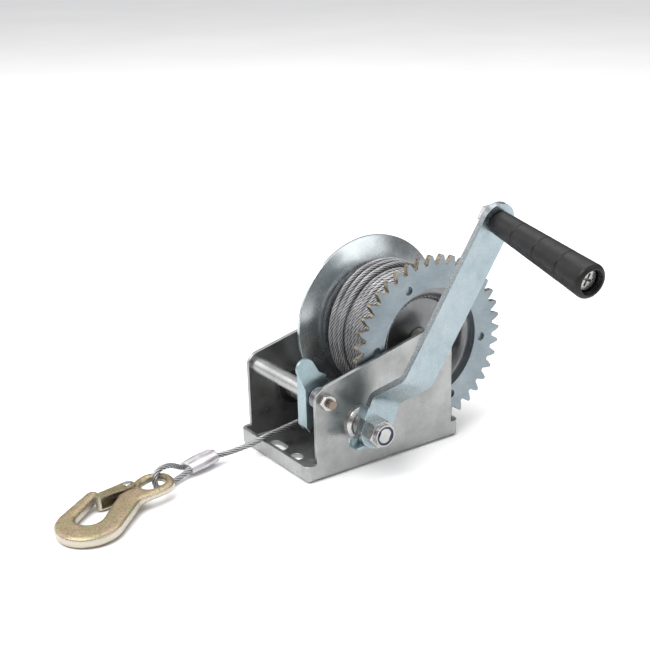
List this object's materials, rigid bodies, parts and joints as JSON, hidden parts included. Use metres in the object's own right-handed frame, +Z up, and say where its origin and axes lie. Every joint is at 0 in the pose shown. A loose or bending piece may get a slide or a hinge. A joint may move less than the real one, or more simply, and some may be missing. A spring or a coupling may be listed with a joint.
{
  "type": "hand winch",
  "caption": "Hand-cranked winch with a geared drum of wire rope in a pressed U frame, a two-way pawl, a bent crank with a grip, and an eye hook with a latch.",
  "frame": {"origin": "centre of the frame's underside, half way along and across the pan", "axes": "+X along the drum axis towards the crank, -Y the side that the rope leaves by, +Z up from the mounting surface"},
  "size_m": [0.2476, 0.3306, 0.187],
  "materials": {
    "frame_zinc": "light grey zinc plate, satin",
    "gear_zinc": "bluish zinc plate, satin",
    "drum_zinc": "bright zinc plate, soft sheen",
    "crank_zinc": "bluish zinc plate, satin",
    "pawl_zinc": "bluish zinc plate, satin",
    "cut_steel": "machined steel, faintly golden",
    "fastener": "zinc-plated fasteners, satin",
    "spring_steel": "dark spring steel",
    "black_bush": "black bearing plastic, oiled",
    "bronze": "dull sintered bronze",
    "rope_steel": "galvanised wire rope, dull",
    "ferrule_aluminium": "pressed aluminium, satin",
    "grip_plastic": "near-black plastic, slight sheen",
    "nylon_insert": "dark blue nylon",
    "hook_passivated": "yellow passivated zinc with pink and green bloom",
    "latch_passivated": "yellow passivated zinc, satin"
  },
  "bodies": {
    "frame_body": {"frame": "frame_zinc", "tie_bolt": "fastener", "tie_nut": "fastener", "tie_sleeve": "frame_zinc", "pawl_spacer": "fastener", "pawl_spring": "spring_steel", "drum_axle": "fastener", "drum_axle_nut": "fastener", "axle_spacer_far": "fastener", "axle_spacer_near": "fastener", "pinion_bush_far": "black_bush", "pinion_bush_near": "fastener", "rope_run": "rope_steel", "ferrule": "ferrule_aluminium"},
    "drum": {"drum_hub": "drum_zinc", "drum_flange_far": "drum_zinc", "drum_flange_near": "drum_zinc", "drum_gear": "gear_zinc", "drum_bushes": "bronze", "rope_clamp": "fastener", "rope_clamp_screw": "fastener", "rope_winding": "rope_steel"},
    "crank": {"pinion_shaft": "cut_steel", "pinion_gear": "cut_steel", "shaft_ring": "spring_steel", "crank_spacer": "fastener", "crank_lock_plate": "crank_zinc", "crank_arm": "crank_zinc", "crank_nut": "fastener", "crank_nut_insert": "nylon_insert", "grip_bolt": "fastener", "grip_washer": "fastener", "grip_nut": "fastener"},
    "handgrip": {"grip": "grip_plastic"},
    "pawl_body": {"pawl": "pawl_zinc"},
    "hook_body": {"hook": "hook_passivated", "latch_rivet": "hook_passivated", "latch_spring": "spring_steel"},
    "latch_body": {"hook_latch": "latch_passivated"}
  },
  "joints": [
    {"name": "drum_spin", "type": "hinge", "parent": "frame_body", "child": "drum", "pos_m": [0, 0.042, 0.07276], "axis": [1, 0, 0], "continuous": true},
    {"name": "crank_spin", "type": "hinge", "parent": "frame_body", "child": "crank", "pos_m": [0, -0.0225, 0.034], "axis": [1, 0, 0], "continuous": true},
    {"name": "grip_spin", "type": "hinge", "parent": "crank", "child": "handgrip", "pos_m": [0.10654, 0.03871, 0.17477], "axis": [0.9799, -0.0795, -0.1828], "continuous": true},
    {"name": "pawl_pivot", "type": "hinge", "parent": "frame_body", "child": "pawl_body", "pos_m": [0, -0.04947, 0.056], "axis": [1, 0, 0], "range_deg": [-17, 17]},
    {"name": "hook_swing", "type": "hinge", "parent": "frame_body", "child": "hook_body", "pos_m": [-0.0058, -0.1465, 0.004], "axis": [0, 0, 1], "range_deg": [-8, 6]},
    {"name": "latch_pivot", "type": "hinge", "parent": "hook_body", "child": "latch_body", "pos_m": [-0.00969, -0.16744, 0.00718], "axis": [0.0191, -0.0497, 0.9986], "range_deg": [0, 22], "stiffness_Nm_per_rad": 0.1, "springref_deg": -17.19}
  ],
  "couplings": [
    {"joint": "crank_spin", "follows": "drum_spin", "ratio": -4}
  ]
}
